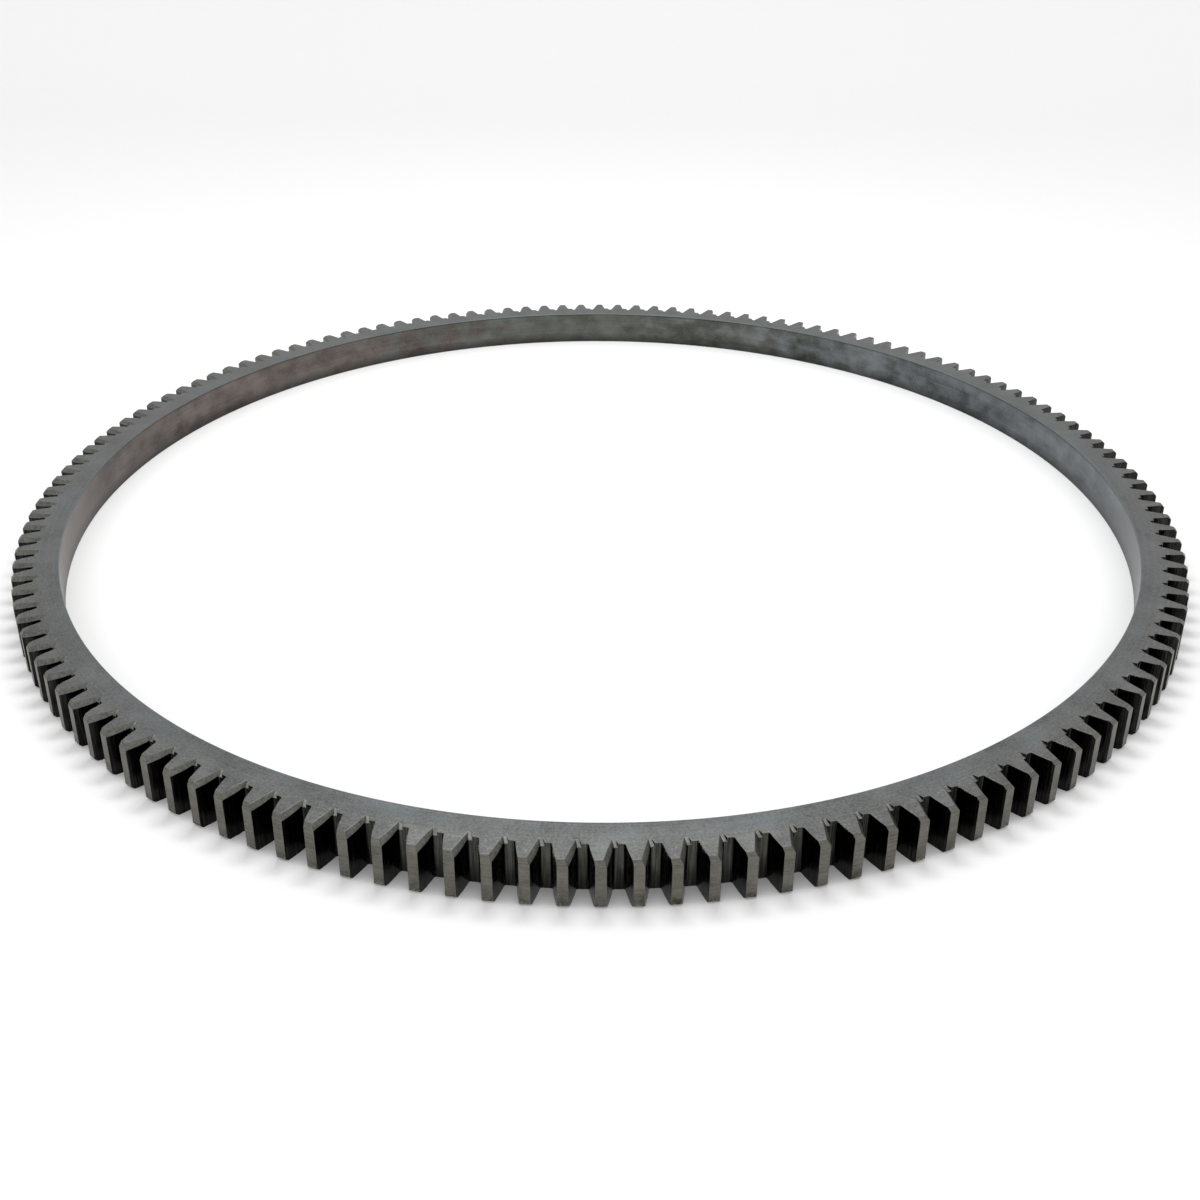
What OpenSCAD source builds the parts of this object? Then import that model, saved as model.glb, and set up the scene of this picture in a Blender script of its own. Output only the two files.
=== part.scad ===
// Flywheel ring gear: a toothed steel hoop that is shrunk onto the rim of an engine flywheel, so that
// the starter pinion can turn the engine. One piece: a turned hoop, hobbed, with milled lead-ins.
// Millimetres. The origin is the centre of the bore on the plain back face, +Z points to the lead-in
// face that the pinion enters from, and one tooth is centred on +X.

/* [Ring] */
// Rim thickness, from the bore that is shrunk onto the flywheel to the root of the teeth
rim_w = 7.06; // [4.5:0.01:15]
// Face width, from the back face to the lead-in face
face_w = 12.5; // [8:0.1:25]
// Edge break at both ends of the bore
bore_break = 0.15; // [0.1:0.05:1]

/* [Teeth] */
// Number of teeth
teeth = 138; // [110:1:200]
// Tooth size: pitch diameter divided by the number of teeth
tooth_module = 2.54; // [2.4:0.01:3.5]
// Pressure angle of the involute flanks, in degrees
pressure_angle = 14.5; // [14.5:0.5:22]
// Height of a tooth above the pitch circle
addendum = 2.54; // [1.8:0.02:2.8]
// Depth of a tooth space below the pitch circle
dedendum = 3.4; // [2.6:0.05:4.2]
// Thinning of each tooth at the pitch circle, for backlash
tooth_thinning = 0.15; // [0:0.01:0.4]
// Radius of the fillet between flank and root
root_fillet = 0.5; // [0.2:0.05:0.7]

/* [Tip edges] */
// Chamfer on the tooth tips at the lead-in face
lead_tip_chamfer = 0.9; // [0.2:0.1:1.5]
// Chamfer on the tooth tips at the back face
back_tip_chamfer = 0.7; // [0.2:0.1:1.5]

/* [Lead-in] */
// Width of the lead-in bevel on the lead-in face, square to the flank
lead_w = 0.95; // [0.5:0.05:1.4]
// Drop of the lead-in bevel down the flank
lead_drop = 1; // [0.5:0.05:2.4]
// How far the cutter's point runs below the lower edge of the bevel
lead_overcut = 0.15; // [0.05:0.05:0.5]
// How far the notch runs into the rim past the root, to its round end
lead_reach = 1.7; // [0.8:0.1:3]

/* [Hidden] */

// Straight steps that stand for each flank, each fillet and each notch's round end
flank_steps = 3;
fillet_steps = 2;
notch_steps = 6;
// Facets of the turned blank, two to a tooth
$fn = 2 * teeth;
// How far every cutter overruns the faces that it cuts through
overrun = 1;

steel_grey = "#5e6163";

pitch_r = teeth * tooth_module / 2;
tip_r = pitch_r + addendum;
root_r = pitch_r - dedendum;
bore_r = root_r - rim_w;
base_r = pitch_r * cos(pressure_angle);
tooth_pitch = 360 / teeth;
degrees_per_radian = 180 / PI;

// Involute function, in degrees, of a pressure angle in degrees
function involute(angle) = tan(angle) * degrees_per_radian - angle;

// Half of the tooth's angle at the pitch circle
half_tooth = tooth_pitch / 4 - tooth_thinning / 2 / pitch_r * degrees_per_radian;

// Half of the space's angle at radius r
function half_space(r) =
    tooth_pitch / 2 - half_tooth - involute(pressure_angle) + involute(acos(base_r / r));

// Point on the flank of a space centred on +X, on its +Y side
function flank_point(r) = r * [cos(half_space(r)), sin(half_space(r))];

// The flank near the root, as a straight line that the fillet touches
root_corner = flank_point(root_r);
above_corner = flank_point(root_r + root_fillet);
root_lean = atan2(above_corner.y - root_corner.y, above_corner.x - root_corner.x);
fillet_x = root_r + root_fillet;
fillet_y = root_corner.y + root_fillet * (tan(root_lean) - 1 / cos(root_lean));
flank_foot_r = root_r + root_fillet * (1 - sin(root_lean));

// Root land, fillet and flank of one side of a space, from the root outwards
fillet_points = [
    for (i = [0 : fillet_steps - 1])
        let (a = 180 - (90 - root_lean) * i / fillet_steps)
        [fillet_x + root_fillet * cos(a), fillet_y + root_fillet * sin(a)]
];
flank_end_r = tip_r + overrun;
flank_points = [
    for (i = [0 : flank_steps]) flank_point(flank_foot_r + (flank_end_r - flank_foot_r) * i / flank_steps)
];
space_side = concat(fillet_points, flank_points);
last_point = len(space_side) - 1;
space_other_side = [for (i = [last_point : -1 : 0]) [space_side[i].x, -space_side[i].y]];

// Straight line from root to tip that the lead-in bevel runs along
flank_top = flank_point(tip_r);
flank_length = norm(flank_top - root_corner);
flank_lean = atan2(flank_top.y - root_corner.y, flank_top.x - root_corner.x);

// The cone-pointed cutter of the lead-in: where its point runs, and how wide it is above the face
point_drop = lead_drop + lead_overcut;
point_out = lead_overcut * lead_w / lead_drop;
notch_r = point_drop * lead_w / lead_drop;
point_end = notch_r - lead_reach / cos(flank_lean);
cutter_r = notch_r * (point_drop + overrun) / point_drop;
point_start = flank_length + cutter_r;

// The hoop as it leaves the lathe
module blank() {
    rotate_extrude()
        polygon([
            [bore_r, bore_break],
            [bore_r + bore_break, 0],
            [tip_r - back_tip_chamfer, 0],
            [tip_r, back_tip_chamfer],
            [tip_r, face_w - lead_tip_chamfer],
            [tip_r - lead_tip_chamfer, face_w],
            [bore_r + bore_break, face_w],
            [bore_r, face_w - bore_break]
        ]);
}

// One hobbed space, centred on +X
module tooth_space() {
    translate([0, 0, -overrun])
        linear_extrude(face_w + 2 * overrun)
            polygon(concat(space_side, space_other_side));
}

// One lead-in cut, on the counter-clockwise flank of the tooth before the space on +X. The cutter's path
// has two sloping sides, the bevel and the notch's far wall, and ends in half a cone.
module lead_in() {
    translate([root_corner.x, -root_corner.y, face_w])
        rotate([0, 0, -flank_lean])
            translate([point_end, point_out, 0]) {
                rotate([90, 0, 90])
                    linear_extrude(point_start - point_end)
                        polygon([[0, -point_drop], [cutter_r, overrun], [-cutter_r, overrun]]);
                rotate([0, 0, 90])
                    rotate_extrude(angle = 180, $fn = 2 * notch_steps)
                        polygon([[0, -point_drop], [cutter_r, overrun], [0, overrun]]);
            }
}

module ring_gear() {
    color(steel_grey)
        difference() {
            blank();
            for (k = [0 : teeth - 1]) rotate([0, 0, (k + 0.5) * tooth_pitch]) tooth_space();
            for (k = [0 : teeth - 1]) rotate([0, 0, (k + 0.5) * tooth_pitch]) lead_in();
        }
}

ring_gear();
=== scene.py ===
# %% [markdown]
# # A flywheel ring gear in dark steel
#
# The object is one hoop of steel with teeth all round its outside. It is heated, dropped over the rim of
# an engine's flywheel, and holds on when it shrinks. A starter motor's small gear slides into its teeth
# and turns the engine. The CAD model gives the exact form. Here that form is made again as a mesh, with
# rounded edges and a finish for every kind of cut, and a camera looks at it from the photo's place.

# %% Load the frame
import math
import random

import bmesh
import bpy
from mathutils import Matrix, Vector


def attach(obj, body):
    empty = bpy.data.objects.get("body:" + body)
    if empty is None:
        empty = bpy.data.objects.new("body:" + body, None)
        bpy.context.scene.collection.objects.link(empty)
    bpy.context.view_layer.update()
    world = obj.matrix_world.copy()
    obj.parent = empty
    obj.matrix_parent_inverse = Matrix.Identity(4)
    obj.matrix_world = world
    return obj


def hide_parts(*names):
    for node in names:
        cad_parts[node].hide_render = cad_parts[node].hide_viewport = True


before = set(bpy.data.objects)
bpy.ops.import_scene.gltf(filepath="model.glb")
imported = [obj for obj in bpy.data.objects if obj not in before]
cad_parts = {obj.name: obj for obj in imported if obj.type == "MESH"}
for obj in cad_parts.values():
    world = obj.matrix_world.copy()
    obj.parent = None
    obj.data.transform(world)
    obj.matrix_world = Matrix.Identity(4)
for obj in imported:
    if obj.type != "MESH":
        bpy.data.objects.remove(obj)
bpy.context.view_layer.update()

# %% [markdown]
# ## Sizes
#
# Every length is in millimetres, as on a workshop drawing. The hoop, the teeth and the chamfers have the
# sizes of the CAD model. The shapes could be built in metres, which the frame uses. They are built in
# millimetres, because Blender's mesh tools like numbers near one, and are scaled to metres last.

# %% Sizes of the ring
MM = 0.001
TEETH = 138
TOOTH_MODULE = 2.54
PRESSURE_ANGLE = math.radians(14.5)
ADDENDUM = 2.54
DEDENDUM = 3.4
TOOTH_THINNING = 0.15
ROOT_FILLET = 0.5
RIM_W = 7.06
FACE_W = 12.5
BORE_BREAK = 0.15
LEAD_TIP_CHAMFER = 0.9
BACK_TIP_CHAMFER = 0.7

PITCH = 2 * math.pi / TEETH
PITCH_R = TEETH * TOOTH_MODULE / 2
TIP_R = PITCH_R + ADDENDUM
ROOT_R = PITCH_R - DEDENDUM
BASE_R = PITCH_R * math.cos(PRESSURE_ANGLE)
BORE_R = ROOT_R - RIM_W
OVERRUN = 1.0
print(f"tip circle {2 * TIP_R:.2f} mm, bore {2 * BORE_R:.2f} mm")

# %% [markdown]
# ## Seven finishes
#
# A real ring is cut in several ways, and each cut leaves its own look. The faces and the tips are turned
# on a lathe, the spaces are hobbed, the lead-ins are milled and end in bright notches, and the bore takes
# the colours of the heat treatment. The seventh finish is the narrow edge between two cuts, where handling
# rubs the dark skin bright. The finishes could be picked out on the finished mesh, by the direction of
# each face. Here each face carries the number of its finish from the start, as its material slot, because
# both the Boolean and the bevel tools keep that number.

# %% Number the finishes
FACED, TURNED, HOBBED, MILLED, NOTCH, BORED, EDGE = range(7)
FINISH_NAMES = ["faced", "turned", "hobbed", "milled", "notch", "bored", "edge"]
materials = [bpy.data.materials.new(f"blackened_steel_{name}") for name in FINISH_NAMES]
print("finishes:", ", ".join(FINISH_NAMES))


def solid(name, points, faces, finishes):
    """A closed mesh object in millimetres, with one finish for each face."""
    mesh = bpy.data.meshes.new(name)
    mesh.from_pydata(points, [], faces)
    for material in materials:
        mesh.materials.append(material)
    mesh.polygons.foreach_set("material_index", finishes)
    made = bpy.data.objects.new(name, mesh)
    bpy.context.collection.objects.link(made)
    return made


# %% [markdown]
# ## The turned blank
#
# The blank is the hoop before it has teeth: one section, carried round the axis. A Screw modifier could
# carry it. A loop is as short, and lets every corner of the section name the finish of the face that
# follows it. Only a short arc is needed, one pitch to each side of the tooth on +X, because the tooth is
# repeated later.

# %% Carry the section round a short arc
BLANK_STEPS = 12

section = [
    (BORE_R, BORE_BREAK, BORED),
    (BORE_R + BORE_BREAK, 0, FACED),
    (TIP_R - BACK_TIP_CHAMFER, 0, TURNED),
    (TIP_R, BACK_TIP_CHAMFER, TURNED),
    (TIP_R, FACE_W - LEAD_TIP_CHAMFER, TURNED),
    (TIP_R - LEAD_TIP_CHAMFER, FACE_W, FACED),
    (BORE_R + BORE_BREAK, FACE_W, BORED),
    (BORE_R, FACE_W - BORE_BREAK, BORED),
]
corners = len(section)
points, faces, finishes = [], [], []
for step in range(BLANK_STEPS + 1):
    angle = PITCH * (2 * step / BLANK_STEPS - 1)
    points += [(r * math.cos(angle), r * math.sin(angle), z) for r, z, _ in section]
for step in range(BLANK_STEPS):
    here, there = step * corners, (step + 1) * corners
    for i, (_, _, finish) in enumerate(section):
        j = (i + 1) % corners
        faces.append((here + i, here + j, there + j, there + i))
        finishes.append(finish)
faces.append(tuple(reversed(range(corners))))
faces.append(tuple(BLANK_STEPS * corners + i for i in range(corners)))
finishes += [FACED, FACED]
blank = solid("blank", points, faces, finishes)
print("blank:", len(faces), "faces")

# %% [markdown]
# ## The hobbed spaces
#
# A hob cuts the spaces between the teeth. Their flanks are involutes: the curve that the end of a taut
# thread draws as it is unwound from a drum, here the base circle. A small fillet joins each flank to the
# root. The teeth could be drawn and raised from the hoop instead. Cutting the spaces is how the real ring
# is made, and it leaves the turned tips and faces as they were.

# %% Outline of one space
FLANK_STEPS = 8
FILLET_STEPS = 5


def involute(angle):
    return math.tan(angle) - angle


HALF_TOOTH = PITCH / 4 - TOOTH_THINNING / 2 / PITCH_R


def half_space(r):
    """Half of the angle of a space at radius r."""
    opening = involute(math.acos(BASE_R / r)) - involute(PRESSURE_ANGLE)
    return PITCH / 2 - HALF_TOOTH + opening


def flank_point(r):
    """Point on the +Y flank of a space that is centred on +X."""
    return Vector((r * math.cos(half_space(r)), r * math.sin(half_space(r))))


root_corner = flank_point(ROOT_R)
near_root = flank_point(ROOT_R + ROOT_FILLET) - root_corner
root_lean = math.atan2(near_root.y, near_root.x)
fillet_x = ROOT_R + ROOT_FILLET
fillet_y = root_corner.y + ROOT_FILLET * (math.tan(root_lean) - 1 / math.cos(root_lean))
flank_foot_r = ROOT_R + ROOT_FILLET * (1 - math.sin(root_lean))

one_side = []
for i in range(FILLET_STEPS):
    angle = math.pi - (math.pi / 2 - root_lean) * i / FILLET_STEPS
    one_side.append((fillet_x + ROOT_FILLET * math.cos(angle), fillet_y + ROOT_FILLET * math.sin(angle)))
for i in range(FLANK_STEPS + 1):
    one_side.append(flank_point(flank_foot_r + (TIP_R + OVERRUN - flank_foot_r) * i / FLANK_STEPS))
outline = [(x, -y) for x, y in reversed(one_side)] + [(x, y) for x, y in one_side]
print(f"root land {2 * one_side[0][1]:.2f} mm wide, {len(outline)} points in a space")

# %% A cutter for the space on each side of the tooth
NEIGHBOUR_SPACES = (-PITCH / 2, PITCH / 2)


def turned(point, angle):
    return Matrix.Rotation(angle, 3, "Z") @ Vector(point)


def prism(name, bottom, top, finish):
    """A closed solid between two outlines with the same number of points, listed clockwise from above."""
    count = len(bottom)
    sides = [(i, i + count, (i + 1) % count + count, (i + 1) % count) for i in range(count)]
    ends = [tuple(range(count)), tuple(reversed(range(count, 2 * count)))]
    return solid(name, bottom + top, sides + ends, [finish] * (count + len(ends)))


cutters = []
for angle in NEIGHBOUR_SPACES:
    bottom = [turned((x, y, -OVERRUN), angle) for x, y in outline]
    top = [turned((x, y, FACE_W + OVERRUN), angle) for x, y in outline]
    cutters.append(prism("space", bottom, top, HOBBED))
print("cutters for spaces:", len(cutters))

# %% [markdown]
# ## The milled lead-ins
#
# The starter's gear slides in from the top face. So that it finds a space, one flank of each tooth is
# beveled there. The cutter runs along the flank and climbs out of the rim just past the root, so it leaves
# three flats: the bevel itself, a short ramp that rises into the rim, and a steep far wall beside the
# ramp. The CAD model cuts it with a cone-pointed cutter, and the flats here follow the real cut more
# closely. The corners of a solid between flats could be worked out one by one. It is quicker to slice a
# block by one plane after another and to take what is left of it away from the tooth.

# %% Flats of one lead-in, along the flank (x), out of the flank (y) and up from the face (z)
LEAD_W = 0.7
LEAD_TURN = math.radians(2.8)
LEAD_DROP = 0.8
NOTCH_REACH = 1.42
NOTCH_FALL = math.radians(36)
NOTCH_OUT = 0.16
WALL_TURN = math.radians(38)
WALL_LEAN = math.radians(4)

along = flank_point(TIP_R) - root_corner
flank_lean = math.atan2(along.y, along.x)
bevel_slope = math.atan2(LEAD_DROP, LEAD_W)
bevel_side = Vector((math.sin(LEAD_TURN), math.cos(LEAD_TURN), 0))
inward = Vector((-math.cos(flank_lean), -math.sin(flank_lean), 0))
notch_end = NOTCH_REACH * inward
wall_start = Vector((notch_end.x - NOTCH_OUT * math.tan(flank_lean), NOTCH_OUT, 0))
wall_side = Vector((-math.sin(WALL_TURN), math.cos(WALL_TURN), 0))
off_the_face = Vector((0, 0, 1))
flats = [
    (MILLED, (0, -LEAD_W, 0), -math.sin(bevel_slope) * bevel_side - math.cos(bevel_slope) * off_the_face),
    (NOTCH, notch_end, math.sin(NOTCH_FALL) * inward - math.cos(NOTCH_FALL) * off_the_face),
    (HOBBED, wall_start, math.cos(WALL_LEAN) * wall_side - math.sin(WALL_LEAN) * off_the_face),
]
print(f"bevel slopes {math.degrees(bevel_slope):.0f} degrees, flank leans {math.degrees(flank_lean):.1f}")

# %% Slice the block
BLOCK_LOW, BLOCK_HIGH = (-4.0, -2.5, -2.5), (8.0, 1.6, OVERRUN)

block = bmesh.new()
middle = (Vector(BLOCK_LOW) + Vector(BLOCK_HIGH)) / 2
size = Vector(BLOCK_HIGH) - Vector(BLOCK_LOW)
bmesh.ops.create_cube(block, size=1, matrix=Matrix.Translation(middle) @ Matrix.Diagonal((*size, 1)))
for finish, point, outward in flats:
    everything = block.verts[:] + block.edges[:] + block.faces[:]
    bmesh.ops.bisect_plane(block, geom=everything, plane_co=point, plane_no=outward, clear_outer=True)
    filled = bmesh.ops.holes_fill(block, edges=[e for e in block.edges if e.is_boundary])
    for face in filled["faces"]:
        face.material_index = finish
bmesh.ops.recalc_face_normals(block, faces=block.faces)
block.verts.index_update()
block_points = [v.co.copy() for v in block.verts]
block_faces = [tuple(v.index for v in face.verts) for face in block.faces]
block_finishes = [face.material_index for face in block.faces]
block.free()
print("lead-in block:", len(block_faces), "faces")

# %% Cut the spaces and the lead-ins
lead_place = (
    Matrix.Translation((root_corner.x, -root_corner.y, FACE_W)) @ Matrix.Rotation(-flank_lean, 4, "Z")
)
for angle in NEIGHBOUR_SPACES:
    placed = [turned(lead_place @ point, angle) for point in block_points]
    cutters.append(solid("lead_in", placed, block_faces, block_finishes))


def evaluated_mesh(source):
    return bpy.data.meshes.new_from_object(source.evaluated_get(bpy.context.evaluated_depsgraph_get()))


for cutter in cutters:
    cut = blank.modifiers.new("cut", "BOOLEAN")
    cut.operation = "DIFFERENCE"
    cut.solver = "EXACT"
    cut.material_mode = "INDEX"
    cut.object = cutter
cut_mesh = evaluated_mesh(blank)
print("tooth after the cuts:", len(cut_mesh.polygons), "faces")

# %% [markdown]
# ## Rounded edges
#
# No real edge is sharp, and a rounded edge is what catches the light. A Bevel modifier on the whole ring
# could round them. The bevel tool of bmesh does it on the one tooth, before it is repeated, and takes just
# the edges that it is given: every convex edge that is sharp enough gets a narrow two-step round in the
# edge finish. The arc is then trimmed to one pitch in the middle of its two spaces, so that copies meet
# where nothing changes from tooth to tooth.

# %% Round the edges
EDGE_ROUND = 0.06
ROUND_STEPS = 2
ROUND_PROFILE = 0.5
EDGE_ANGLE = math.radians(25)
FLAT_ANGLE = math.radians(0.2)
WELD = 0.002

tooth_bm = bmesh.new()
tooth_bm.from_mesh(cut_mesh)
bmesh.ops.remove_doubles(tooth_bm, verts=tooth_bm.verts, dist=WELD)
bmesh.ops.dissolve_limit(
    tooth_bm, angle_limit=FLAT_ANGLE, verts=tooth_bm.verts, edges=tooth_bm.edges, delimit={"MATERIAL"}
)
rounded = [
    e for e in tooth_bm.edges
    if len(e.link_faces) == 2 and e.is_convex and e.calc_face_angle() > EDGE_ANGLE
]
print("edges to round:", len(rounded))
bmesh.ops.bevel(
    tooth_bm, geom=rounded, offset=EDGE_ROUND, offset_type="OFFSET", segments=ROUND_STEPS,
    profile=ROUND_PROFILE, affect="EDGES", clamp_overlap=False, material=EDGE, loop_slide=True,
)

# %% Trim to one pitch and smooth what is curved
TRIM_SNAP = 1e-4
SHARP_ANGLE = math.radians(30)

for side in (1, -1):
    outward = turned((0, side, 0), side * PITCH / 2)
    everything = tooth_bm.verts[:] + tooth_bm.edges[:] + tooth_bm.faces[:]
    bmesh.ops.bisect_plane(
        tooth_bm, geom=everything, dist=TRIM_SNAP, plane_co=(0, 0, 0), plane_no=outward, clear_outer=True
    )
for face in tooth_bm.faces:
    face.smooth = True
for e in tooth_bm.edges:
    if len(e.link_faces) == 2:
        first, second = e.link_faces
        same_finish = first.material_index == second.material_index
        e.smooth = same_finish and e.calc_face_angle() < SHARP_ANGLE

tooth_mesh = bpy.data.meshes.new("tooth")
tooth_bm.to_mesh(tooth_mesh)
tooth_bm.free()
tooth_mesh.transform(Matrix.Scale(MM, 4))
finish_of_face = [p.material_index for p in tooth_mesh.polygons]
tooth_mesh.attributes.new("finish", "INT", "FACE").data.foreach_set("value", finish_of_face)
tooth = bpy.data.objects.new("tooth", tooth_mesh)
bpy.context.collection.objects.link(tooth)
tooth_mesh.calc_loop_triangles()
print("one tooth:", len(tooth_mesh.polygons), "faces,", len(tooth_mesh.loop_triangles), "triangles")

# %% [markdown]
# ## Burrs
#
# Where the hob left the steel it pushed a thin, ragged burr over the upper edge of the flank that has no
# bevel. On most teeth it has been broken off. It could be a bumpy strip, but a strip looks too even. So a
# burr is a row of small shards, each with three points on the edge and one out in the space, with sizes
# drawn from a fixed seed.

# %% One row of shards
SEED = 7
SHARDS = 9
SHARD_ROOT = 0.12
SHARD_SHIFT = (-0.4, 0.4)
SHARD_HALF_WIDTH = (0.1, 0.3)
SHARD_REACH = (0.1, 0.4)
SHARD_RISE = (-0.1, 0.12)
BURR_START = ROOT_R + 0.6
BURR_LENGTH = TIP_R - LEAD_TIP_CHAMFER - BURR_START

dice = random.Random(SEED)
burr_bm = bmesh.new()
for i in range(SHARDS):
    r = BURR_START + BURR_LENGTH * (i + dice.uniform(*SHARD_SHIFT)) / SHARDS
    edge_angle = half_space(r) - PITCH / 2
    radial = Vector((math.cos(edge_angle), math.sin(edge_angle), 0))
    sideways = Vector((radial.y, -radial.x, 0))
    foot = r * radial + Vector((0, 0, FACE_W - EDGE_ROUND))
    half_width = dice.uniform(*SHARD_HALF_WIDTH) * radial
    shard_tip = foot + dice.uniform(*SHARD_REACH) * sideways + Vector((0, 0, dice.uniform(*SHARD_RISE)))
    under = foot - Vector((0, 0, SHARD_ROOT)) - SHARD_ROOT * sideways
    corner = [burr_bm.verts.new(v) for v in (foot - half_width, foot + half_width, under, shard_tip)]
    for three in ((0, 1, 2), (0, 1, 3), (1, 2, 3), (2, 0, 3)):
        burr_bm.faces.new([corner[n] for n in three])
bmesh.ops.recalc_face_normals(burr_bm, faces=burr_bm.faces)
burr_mesh = bpy.data.meshes.new("burr")
burr_bm.to_mesh(burr_mesh)
burr_bm.free()
burr_mesh.transform(Matrix.Scale(MM, 4))
burr_finish = burr_mesh.attributes.new("finish", "INT", "FACE")
burr_finish.data.foreach_set("value", [EDGE] * len(burr_mesh.polygons))
burr = bpy.data.objects.new("burr", burr_mesh)
bpy.context.collection.objects.link(burr)
print("burr:", len(burr_mesh.polygons), "faces")

# %% [markdown]
# ## All the teeth with Geometry Nodes
#
# The teeth are all alike. An Array modifier could repeat them round an empty, but it can't give each its
# own chance of a burr or of rust. Geometry Nodes can: there is one point for each tooth, all on the axis,
# on each point a copy of the tooth, turned by its number, and on some points a copy of the burr. Each copy
# gets a random value that the materials can read. The copies are then made real and welded, and each
# finish gets its material.

# %% A function that adds a node, and the inputs of the tree
TREE_INPUTS = {
    "Tooth": "Object", "Burr": "Object", "Burred Share": "Float",
    "Teeth": "Int", "Seed": "Int", "Weld": "Float",
}


def add(tree, kind, inputs=None, **settings):
    """One node. The settings are its properties, and the inputs are values or other nodes' outputs."""
    node = tree.nodes.new(kind)
    for name, value in settings.items():
        setattr(node, name, value)
    for name, value in (inputs or {}).items():
        if isinstance(value, bpy.types.NodeSocket):
            tree.links.new(value, node.inputs[name])
        else:
            node.inputs[name].default_value = value
    return node


ring_tree = bpy.data.node_groups.new("ring_of_teeth", "GeometryNodeTree")
for name, kind in TREE_INPUTS.items():
    ring_tree.interface.new_socket(name, in_out="INPUT", socket_type=f"NodeSocket{kind}")
ring_tree.interface.new_socket("Geometry", in_out="OUTPUT", socket_type="NodeSocketGeometry")
given = add(ring_tree, "NodeGroupInput").outputs
print("inputs of the tree:", ", ".join(TREE_INPUTS))

# %% Copies of the tooth and of the burr
# Output 3 of a Random Value node is its yes or no, and output 1 its number.
one_tooth = add(ring_tree, "GeometryNodeObjectInfo", {"Object": given["Tooth"]})
one_burr = add(ring_tree, "GeometryNodeObjectInfo", {"Object": given["Burr"]})
axis_points = add(ring_tree, "GeometryNodePoints", {"Count": given["Teeth"]})
number = add(ring_tree, "GeometryNodeInputIndex").outputs[0]
pitch_turn = add(ring_tree, "ShaderNodeMath", {0: 2 * math.pi, 1: given["Teeth"]}, operation="DIVIDE")
turn = add(ring_tree, "ShaderNodeMath", {0: number, 1: pitch_turn.outputs[0]}, operation="MULTIPLY")
euler = add(ring_tree, "ShaderNodeCombineXYZ", {"Z": turn.outputs[0]})
rotation = add(ring_tree, "FunctionNodeEulerToRotation", {"Euler": euler.outputs[0]})
copies = add(ring_tree, "GeometryNodeInstanceOnPoints", {
    "Points": axis_points.outputs[0], "Instance": one_tooth.outputs["Geometry"],
    "Rotation": rotation.outputs[0],
})
burred = add(ring_tree, "FunctionNodeRandomValue", {
    "Probability": given["Burred Share"], "ID": number, "Seed": given["Seed"],
}, data_type="BOOLEAN")
burrs = add(ring_tree, "GeometryNodeInstanceOnPoints", {
    "Points": axis_points.outputs[0], "Selection": burred.outputs[3],
    "Instance": one_burr.outputs["Geometry"], "Rotation": rotation.outputs[0],
})
both = add(ring_tree, "GeometryNodeJoinGeometry")
for source in (burrs, copies):
    ring_tree.links.new(source.outputs[0], both.inputs[0])
print("nodes so far:", len(ring_tree.nodes))

# %% Mark the copies, make them real, weld them and give them their materials
chance = add(ring_tree, "FunctionNodeRandomValue", {
    "ID": number, "Seed": given["Seed"],
}, data_type="FLOAT")
marked = add(ring_tree, "GeometryNodeStoreNamedAttribute", {
    "Geometry": both.outputs[0], "Name": "tooth_chance", "Value": chance.outputs[1],
}, data_type="FLOAT", domain="INSTANCE")
real = add(ring_tree, "GeometryNodeRealizeInstances", {"Geometry": marked.outputs[0]})
welded = add(ring_tree, "GeometryNodeMergeByDistance", {
    "Geometry": real.outputs[0], "Distance": given["Weld"],
})
number_of_finish = add(ring_tree, "GeometryNodeInputNamedAttribute", {"Name": "finish"}, data_type="INT")
shape = welded.outputs[0]
# A Compare node keeps its two whole numbers in inputs 2 and 3.
for index, material in enumerate(materials):
    is_this = add(ring_tree, "FunctionNodeCompare", {
        2: number_of_finish.outputs[0], 3: index,
    }, data_type="INT", operation="EQUAL")
    dressed = add(ring_tree, "GeometryNodeSetMaterial", {
        "Geometry": shape, "Selection": is_this.outputs[0], "Material": material,
    })
    shape = dressed.outputs[0]
add(ring_tree, "NodeGroupOutput", {"Geometry": shape})
print("nodes in the tree:", len(ring_tree.nodes))

# %% Run the tree and keep a plain mesh
BURRED_SHARE = 0.35
WELD_SEAM = 0.005 * MM

ring = bpy.data.objects.new("ring_gear_steel", bpy.data.meshes.new("ring_gear_steel"))
bpy.context.collection.objects.link(ring)
pattern = ring.modifiers.new("ring_of_teeth", "NODES")
pattern.node_group = ring_tree
identifier = {s.name: s.identifier for s in ring_tree.interface.items_tree if s.in_out == "INPUT"}
pattern[identifier["Tooth"]] = tooth
pattern[identifier["Burr"]] = burr
pattern[identifier["Burred Share"]] = BURRED_SHARE
pattern[identifier["Teeth"]] = TEETH
pattern[identifier["Seed"]] = SEED
pattern[identifier["Weld"]] = WELD_SEAM
ring_mesh = evaluated_mesh(ring)
ring.modifiers.clear()
ring.data = ring_mesh
for helper in [blank, tooth, burr, *cutters]:
    bpy.data.objects.remove(helper)

check_bm = bmesh.new()
check_bm.from_mesh(ring_mesh)
open_edges = sum(1 for e in check_bm.edges if len(e.link_faces) != 2)
volume = check_bm.calc_volume() / MM ** 3
check_bm.free()
ring_mesh.calc_loop_triangles()
print(f"ring: {len(ring_mesh.loop_triangles)} triangles, {open_edges} open edges, {volume:.0f} cubic mm")

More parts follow.
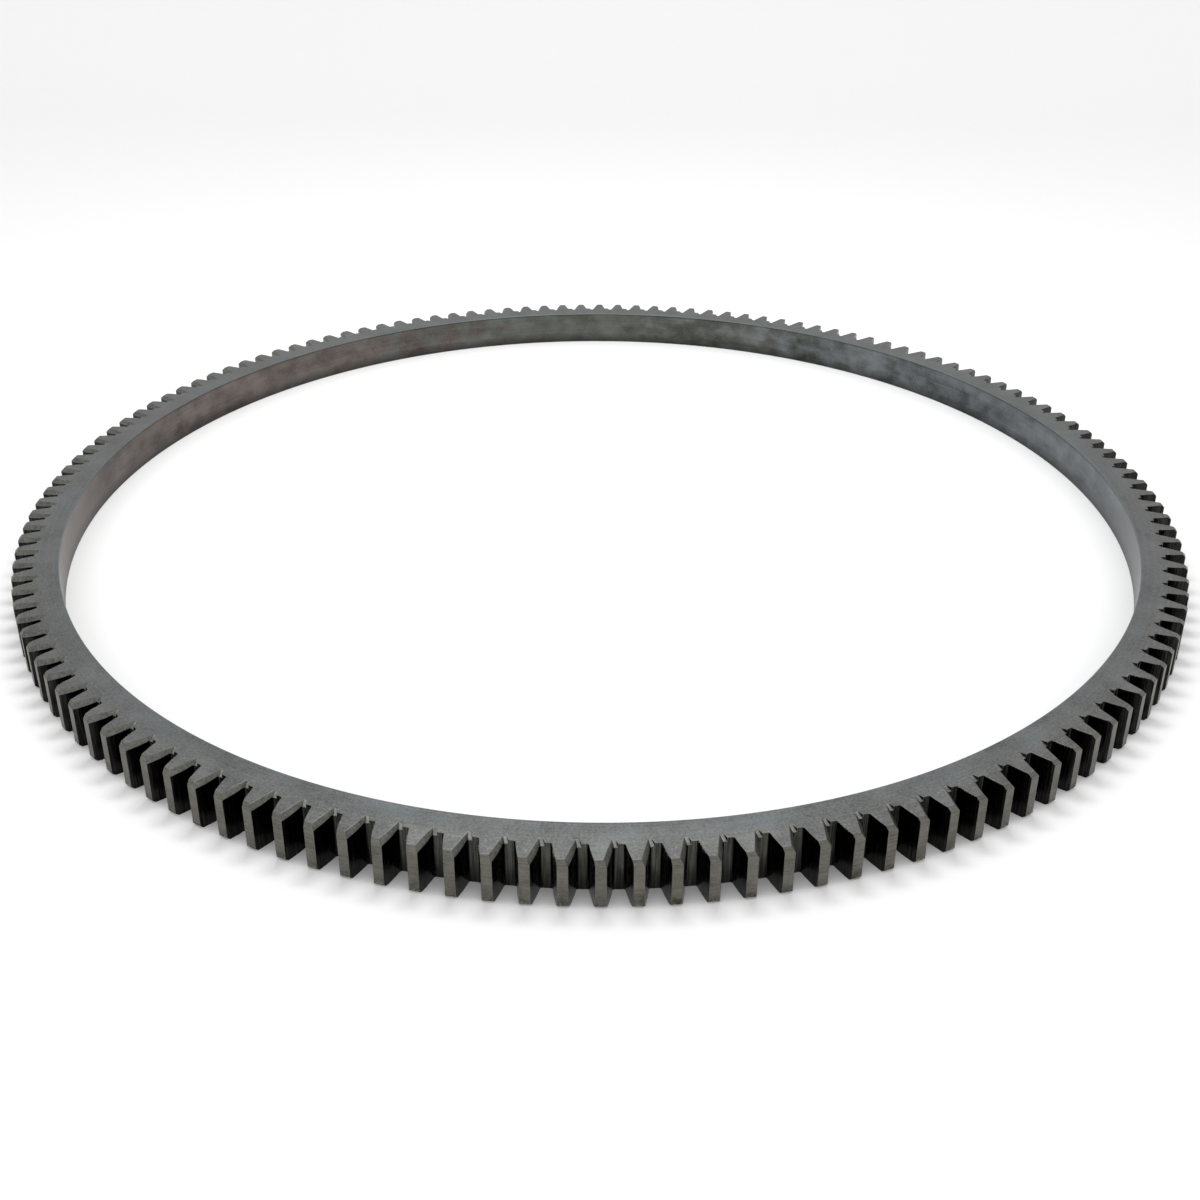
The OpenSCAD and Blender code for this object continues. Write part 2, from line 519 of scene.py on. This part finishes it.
# %% [markdown]
# ## Dark steel, finish by finish
#
# The ring was hardened after it was cut, and the heat left a dark oxide skin on it. The skin is thin on
# the turned faces, where it was cleaned off again, and nearly black between the teeth, where no tool
# reached afterwards. All seven finishes are metals. They differ in how dark they are, in the direction of
# their tool marks, in how rough they are and in their stains. The patterns could be painted, but a painted
# picture has only one sharpness. So they are noise, stretched along the tool marks, and their sizes are
# lengths in millimetres, because the object's own coordinates are turned into millimetres first. Real grit
# and tool marks of about a tenth of a millimetre would not show at this distance, so the finest patterns
# are drawn three to six times as coarse.

# %% Colours, coordinates and grain
def linear(hex_colour):
    """An sRGB colour such as 8a8d8f as the linear numbers that a shader takes."""
    shares = [int(hex_colour[i:i + 2], 16) / 255 for i in (0, 2, 4)]
    return [s / 12.92 if s <= 0.04045 else ((s + 0.055) / 1.055) ** 2.4 for s in shares] + [1.0]


def bare_metal(index):
    """The node tree and the metal shader of a finish, and places on the ring in millimetres."""
    materials[index].use_nodes = True
    tree = materials[index].node_tree
    shader = tree.nodes["Principled BSDF"]
    shader.inputs["Metallic"].default_value = 1.0
    metres = add(tree, "ShaderNodeTexCoord").outputs["Object"]
    place = add(tree, "ShaderNodeVectorMath", {0: metres, "Scale": 1 / MM}, operation="SCALE").outputs[0]
    x, y, z = add(tree, "ShaderNodeSeparateXYZ", {0: place}).outputs
    flat = add(tree, "ShaderNodeCombineXYZ", {"X": x, "Y": y}).outputs[0]
    radius = add(tree, "ShaderNodeVectorMath", {0: flat}, operation="LENGTH").outputs["Value"]
    rings = add(tree, "ShaderNodeCombineXYZ", {"X": x, "Y": y, "Z": radius}).outputs[0]
    return tree, shader, {"place": place, "x": x, "z": z, "radius": radius, "rings": rings}


def grain(tree, place, lengths, detail):
    """Noise near one half, whose streaks have these lengths in millimetres along the three coordinates."""
    paces = [1 / length for length in lengths]
    pace = add(tree, "ShaderNodeVectorMath", {0: place, 1: paces}, operation="MULTIPLY")
    cloud = add(tree, "ShaderNodeTexNoise", {"Vector": pace.outputs[0], "Scale": 1.0, "Detail": detail})
    return cloud.outputs["Fac"]


def together(tree, parts):
    """Noises added up by weight, so that their common middle stays at one half."""
    total = 0.5 - sum(weight for _, weight in parts) / 2
    for noise, weight in parts:
        more = add(tree, "ShaderNodeMath", {0: noise, 1: weight, 2: total}, operation="MULTIPLY_ADD")
        total = more.outputs[0]
    return total


# %% Stains and the finished metal
def stain(tree, under, colour, limits, strength=1.0):
    """One colour over another. It starts where a measure is at the first of its two limits, is full at the
    second, and shows only where that holds for every measure. A colour is a hex colour or another stain."""
    share = strength
    for measure, starts_at, full_at in limits:
        reached = add(tree, "ShaderNodeMapRange", {
            "Value": measure, "From Min": starts_at, "From Max": full_at,
        })
        narrowed = add(tree, "ShaderNodeMath", {0: share, 1: reached.outputs[0]}, operation="MULTIPLY")
        share = narrowed.outputs[0]
    lower, upper = [linear(c) if isinstance(c, str) else c for c in (under, colour)]
    # A Mix node keeps its two colours in inputs 6 and 7, and the mixed colour in output 2.
    return add(tree, "ShaderNodeMix", {0: share, 6: lower, 7: upper}, data_type="RGBA").outputs[2]


def dress(tree, shader, colour, relief, smoothest, roughest, depth):
    """Colour, roughness that follows the relief, and relief of a depth in millimetres."""
    roughness = add(tree, "ShaderNodeMapRange", {
        "Value": relief, "To Min": smoothest, "To Max": roughest,
    }).outputs[0]
    bump = add(tree, "ShaderNodeBump", {"Height": relief, "Distance": depth * MM}).outputs[0]
    tree.links.new(colour, shader.inputs["Base Color"])
    tree.links.new(roughness, shader.inputs["Roughness"])
    tree.links.new(bump, shader.inputs["Normal"])
    print("finish with", len(tree.nodes), "nodes")


# %% [markdown]
# The flat faces were faced on the lathe and then tumbled or blasted clean. To the eye they are an even,
# satin grey. Up close they are a fine speckle over broad, soft clouds, with only a trace of the lathe's
# rings. Towards the teeth, where the blast hit hardest, some specks are bright. Towards the bore a little
# of the blue-green heat tint is left, in thin arcs. A plain grey would do from afar, but it looks like
# plastic up close, so each of these is a layer of its own.

# %% Faced steel
FACED_GREY = ("4e4f4e", "7a7b7a")
BRIGHT_SPECK, HEAT_TINT = "94958f", "5f6f74"
SPECK_BAND = (ROOT_R - 2.5, ROOT_R)
TINT_BAND = (ROOT_R - 0.5, ROOT_R - 3.0)

tree, shader, at = bare_metal(FACED)
speckle = grain(tree, at["place"], (0.55, 0.55, 0.55), detail=2.0)
clouds = grain(tree, at["place"], (11, 11, 11), detail=4.0)
lathe_rings = grain(tree, at["rings"], (45, 45, 0.35), detail=1.0)
arcs = grain(tree, at["rings"], (30, 30, 1.1), detail=3.0)
skin = together(tree, [(speckle, 1.3), (clouds, 1.1), (lathe_rings, 0.5)])
grey = stain(tree, *FACED_GREY, [(skin, 0, 1)])
near_teeth = (at["radius"], *SPECK_BAND)
specked = stain(tree, grey, BRIGHT_SPECK, [near_teeth, (speckle, 0.66, 0.76)], strength=0.6)
near_bore = (at["radius"], *TINT_BAND)
tinted = stain(tree, specked, HEAT_TINT, [near_bore, (arcs, 0.45, 0.8), (clouds, 0.35, 0.75)])
dress(tree, shader, tinted, skin, smoothest=0.36, roughest=0.5, depth=0.014)

# %% [markdown]
# The tips and their chamfers were turned before the teeth were cut. Their marks run round the ring, so
# that the eye sees fine level lines in a warmer grey. The lower ends of some tips have caught a little rust
# from lying on damp floors, and their feet are dented and scuffed by those floors too. The rust could be
# the same on every tooth. It looks more real when a random number that each tooth got from the tree
# decides how much of it there is.

# %% Turned steel
TURNED_GREY = ("474640", "797770")
RUST, DENT, SCUFF = "3a2a1c", "1d1c19", "a3a29a"
RUST_HEIGHTS = (5.5, 0.5)
FOOT_HEIGHTS = (1.5, 0.5)
RUSTY_CHANCES = (0.35, 0.9)

tree, shader, at = bare_metal(TURNED)
lines = grain(tree, at["place"], (30, 30, 0.3), detail=2.0)
speckle = grain(tree, at["place"], (0.5, 0.5, 0.4), detail=2.0)
clouds = grain(tree, at["place"], (5, 5, 4), detail=3.0)
spots = grain(tree, at["place"], (2.4, 2.4, 1.6), detail=5.0)
chance = add(tree, "ShaderNodeAttribute", attribute_name="tooth_chance").outputs["Fac"]
skin = together(tree, [(lines, 1.0), (speckle, 0.8), (clouds, 1.1)])
warm = stain(tree, *TURNED_GREY, [(skin, 0, 1)])
low, unlucky = (at["z"], *RUST_HEIGHTS), (chance, *RUSTY_CHANCES)
rusty = stain(tree, warm, RUST, [low, unlucky, (spots, 0.48, 0.6)], strength=0.8)
at_foot = (at["z"], *FOOT_HEIGHTS)
dented = stain(tree, rusty, DENT, [at_foot, (speckle, 0.5, 0.4)], strength=0.8)
scuffed = stain(tree, dented, SCUFF, [at_foot, (speckle, 0.53, 0.63)])
dress(tree, shader, scuffed, skin, smoothest=0.34, roughest=0.52, depth=0.02)

# %% [markdown]
# Between the teeth the hardening skin is untouched. To the eye it is nearly black and a little glossy,
# with upright marks that the hob and the quench have left. At the bottom of each space the grey is lighter,
# a painted reflection of the white floor that the root lands face. The bottom could be a finish of its own,
# but its distance from the axis already tells it from the flanks.

# %% Hobbed steel
# The root grey is a painted reflection: the root lands are made lighter for the white floor they face.
SKIN_BLACK, ROOT_SHEEN_GREY = ("070707", "343432"), ("222220", "565651")
ROOT_SHEEN_BAND = (ROOT_R + 0.015, ROOT_R + 0.003)

tree, shader, at = bare_metal(HOBBED)
upright = grain(tree, at["place"], (0.3, 0.3, 9), detail=2.0)
clouds = grain(tree, at["place"], (3, 3, 5), detail=3.0)
skin = together(tree, [(upright, 2.2), (clouds, 1.0)])
black = stain(tree, *SKIN_BLACK, [(skin, 0, 1)])
root_sheen = stain(tree, *ROOT_SHEEN_GREY, [(skin, 0, 1)])
# Painted reflection of the floor on the root lands.
sheen_on_roots = stain(tree, black, root_sheen, [(at["radius"], *ROOT_SHEEN_BAND)])
dress(tree, shader, sheen_on_roots, skin, smoothest=0.2, roughest=0.3, depth=0.012)

# %% [markdown]
# The lead-ins were milled last. The cutter's teeth have left streaks across the bevel, which is a dull
# mid grey. The floor of the notch, where the cutter climbed out of the rim, is brighter than anything else
# on the ring: partly fresh bright metal, partly a painted highlight for the light that it catches. The two
# could be made one by one, but they differ only in their greys, so one loop makes both.

# %% Milled steel
# The notch's lighter greys are partly a painted highlight.
BEVEL_GREY, NOTCH_GREY_AND_HIGHLIGHT = ("42433f", "75766f"), ("5e5f5a", "a0a19a")

for finish, greys in ((MILLED, BEVEL_GREY), (NOTCH, NOTCH_GREY_AND_HIGHLIGHT)):
    tree, shader, at = bare_metal(finish)
    streaks = grain(tree, at["place"], (0.4, 0.4, 2.2), detail=2.0)
    clouds = grain(tree, at["place"], (3, 3, 3), detail=2.0)
    skin = together(tree, [(streaks, 1.5), (clouds, 0.8)])
    # For the notch, this grey is partly a painted highlight.
    milled = stain(tree, *greys, [(skin, 0, 1)])
    dress(tree, shader, milled, skin, smoothest=0.4, roughest=0.55, depth=0.02)

# %% [markdown]
# The bore shows the colours of the heat treatment most. To the eye they drift round the ring from brown
# through dark grey to blue-grey, in soft patches, over faint level marks of the boring tool. Its lower
# end is painted darker as shade near the floor, and its upper lip is darker too. A blend straight across
# the ring would look too regular, so the distance across is first shifted back and forth by the patches.

# %% Bored steel
BORE_COLOURS = (("463f3c", "726b67"), ("3a3c38", "676a64"), ("44484b", "727679"))
# The foot colour is painted shade, darkening the wall near the floor; the lip colour darkens the upper lip.
FOOT_SHADE_COLOUR, DARK_LIP_COLOUR = "2a2827", "302b28"
PATCH_SHIFT = 260.0
BROWN_TO_GREY, GREY_TO_BLUE = (30.0, 90.0), (170.0, 260.0)
FOOT_SHADE_HEIGHTS = (4.0, 0.0)
DARK_LIP_HEIGHTS = (FACE_W - 0.9, FACE_W - 0.4)

tree, shader, at = bare_metal(BORED)
lines = grain(tree, at["place"], (40, 40, 0.5), detail=2.0)
patches = grain(tree, at["place"], (26, 26, 12), detail=4.0)
speckle = grain(tree, at["place"], (0.6, 0.6, 0.6), detail=2.0)
blots = grain(tree, at["place"], (7, 7, 5), detail=3.0)
skin = together(tree, [(lines, 0.5), (patches, 1.5), (blots, 1.5), (speckle, 0.6)])
shifted = add(tree, "ShaderNodeMath", {0: blots, 1: PATCH_SHIFT, 2: at["x"]}, operation="MULTIPLY_ADD")
across = shifted.outputs[0]
brown, plain, blue = [stain(tree, *colours, [(skin, 0, 1)]) for colours in BORE_COLOURS]
warm_side = stain(tree, brown, plain, [(across, *BROWN_TO_GREY)])
heated = stain(tree, warm_side, blue, [(across, *GREY_TO_BLUE)])
# Painted shade: the wall darkens towards the floor.
shaded_foot = stain(tree, heated, FOOT_SHADE_COLOUR, [(at["z"], *FOOT_SHADE_HEIGHTS)], strength=0.7)
dark_lip = stain(tree, shaded_foot, DARK_LIP_COLOUR, [(at["z"], *DARK_LIP_HEIGHTS)], strength=0.6)
dress(tree, shader, dark_lip, skin, smoothest=0.3, roughest=0.44, depth=0.012)

# %% [markdown]
# Every rounded edge has been rubbed by handling, so the skin is thin there and the steel shines through in
# patches, as a thin, broken bright line. Round the bore the edge is paler and blue-green, partly a heat
# tint and partly a painted highlight along the bore's edge. The wear could be found by a shader that
# measures how sharp an edge is. The bevel tool has already put these faces into a finish of their own,
# which is simpler.

# %% Rubbed edges
RUBBED_GREY = ("3f403c", "7c7d78")
# The bore edge colour is partly heat tint and partly a painted highlight along the bore's edge.
BORE_EDGE_TINT_AND_HIGHLIGHT = "76868a"
BORE_EDGE_BAND = (BORE_R + 0.8, BORE_R + 0.4)

tree, shader, at = bare_metal(EDGE)
patches = grain(tree, at["place"], (4, 4, 4), detail=4.0)
speckle = grain(tree, at["place"], (0.5, 0.5, 0.5), detail=2.0)
skin = together(tree, [(patches, 2.2), (speckle, 1.0)])
rubbed = stain(tree, *RUBBED_GREY, [(skin, 0, 1)])
# Partly painted highlight: a paler band along the bore's edge.
tinted = stain(tree, rubbed, BORE_EDGE_TINT_AND_HIGHLIGHT, [(at["radius"], *BORE_EDGE_BAND)])
dress(tree, shader, tinted, skin, smoothest=0.34, roughest=0.46, depth=0.008)

# %% [markdown]
# ## The ring in the frame
#
# The finished ring takes the place of the CAD model's one solid. It rides on the only body, so that it
# moves as the solid does, and it wears the one material of the record. All the teeth could be objects of
# their own, but the real ring is one piece, and so is this mesh.

# %% Ring into the frame
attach(ring, "root")
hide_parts("ring_gear")
print(ring.name, "takes the place of ring_gear")

# %% [markdown]
# ## Studio
#
# The ring lies on a white sweep: a sheet that runs flat under it and curves up behind it. A flat floor
# would show a line where it ends, and the curve hides that line. One small lamp hangs above the middle of
# the ring, which gives each tooth a short shadow of its own. The rest of the room is white and fills the
# shadows.

# %% White sweep
SWEEP_SIDE = 1.6
SWEEP_BACK = 0.62
SWEEP_BEND = 0.35
SWEEP_TOP = 1.3
BEND_STEPS = 16
PAPER_WHITE = "f2f2f2"
PAPER_ROUGHNESS = 0.9

profile = [(-SWEEP_SIDE, 0.0)]
for i in range(BEND_STEPS + 1):
    angle = math.pi / 2 * i / BEND_STEPS
    profile.append((SWEEP_BACK + SWEEP_BEND * math.sin(angle), SWEEP_BEND * (1 - math.cos(angle))))
profile.append((SWEEP_BACK + SWEEP_BEND, SWEEP_TOP))
sweep_points = [(x, y, z) for y, z in profile for x in (-SWEEP_SIDE, SWEEP_SIDE)]
sweep_faces = [(2 * i, 2 * i + 1, 2 * i + 3, 2 * i + 2) for i in range(len(profile) - 1)]
sweep_mesh = bpy.data.meshes.new("floor")
sweep_mesh.from_pydata(sweep_points, [], sweep_faces)
sweep_mesh.shade_smooth()
floor = bpy.data.objects.new("floor", sweep_mesh)
bpy.context.collection.objects.link(floor)
white = bpy.data.materials.new("white_paper")
white.use_nodes = True
paper = white.node_tree.nodes["Principled BSDF"]
paper.inputs["Base Color"].default_value = linear(PAPER_WHITE)
paper.inputs["Roughness"].default_value = PAPER_ROUGHNESS
paper.inputs["Specular IOR Level"].default_value = 0.0
sweep_mesh.materials.append(white)
print("sweep:", len(sweep_faces), "faces")

# %% Lamp and room
LAMP_PLACE = (0.0, 0.03, 0.44)
LAMP_LONG, LAMP_WIDE = 0.2, 0.08
LAMP_WATTS = 0.8
ROOM_LIGHT = 1.04

lamp_data = bpy.data.lights.new("lamp", "AREA")
lamp_data.shape = "RECTANGLE"
lamp_data.size = LAMP_LONG
lamp_data.size_y = LAMP_WIDE
lamp_data.energy = LAMP_WATTS
lamp = bpy.data.objects.new("lamp", lamp_data)
lamp.location = LAMP_PLACE
bpy.context.collection.objects.link(lamp)

scene = bpy.context.scene
scene.view_settings.view_transform = "Standard"
scene.world = bpy.data.worlds.new("studio")
scene.world.use_nodes = True
room = scene.world.node_tree.nodes["Background"]
room.inputs["Color"].default_value = (1, 1, 1, 1)
room.inputs["Strength"].default_value = ROOM_LIGHT
print(f"lamp of {LAMP_WATTS} W, {LAMP_PLACE[2]} m above the floor")

# %% [markdown]
# ## Camera
#
# The camera stands low in front of the ring and looks down at it. It could be placed by eye, but then the
# near teeth and the far rim would not both be the right size. Its place, turn and focal length come from a
# fit to the tooth tips, the bore and the outline in the photo, in pixels, millimetres and radians. The
# lens's centre isn't quite the photo's centre, as in a cropped picture, so the camera is shifted.

# %% Camera
PHOTO_SIDE = 1200
FOCAL_PX = 1407.48
CENTRE_PX = (591.47, 470.0)
EYE = Vector((7.58, -406.46, 213.81))
YAW, PITCH_DOWN, ROLL = 0.0248, 0.4493, -0.0016
SENSOR_WIDTH = 36

camera_data = bpy.data.cameras.new("camera")
camera_data.sensor_width = SENSOR_WIDTH
camera_data.lens = SENSOR_WIDTH * FOCAL_PX / PHOTO_SIDE
camera_data.shift_x = 0.5 - CENTRE_PX[0] / PHOTO_SIDE
camera_data.shift_y = CENTRE_PX[1] / PHOTO_SIDE - 0.5
camera = bpy.data.objects.new("camera", camera_data)
bpy.context.collection.objects.link(camera)
look = Matrix.Rotation(YAW, 3, "Z") @ Matrix.Rotation(-PITCH_DOWN, 3, "X") @ Matrix.Rotation(ROLL, 3, "Y")
right, forward, up = look.col
basis = Matrix((right, up, -forward)).transposed()
camera.matrix_world = Matrix.Translation(EYE * MM) @ basis.to_4x4()
scene.camera = camera
print(f"lens of {camera_data.lens:.1f} mm, {EYE.length:.0f} mm from the origin")
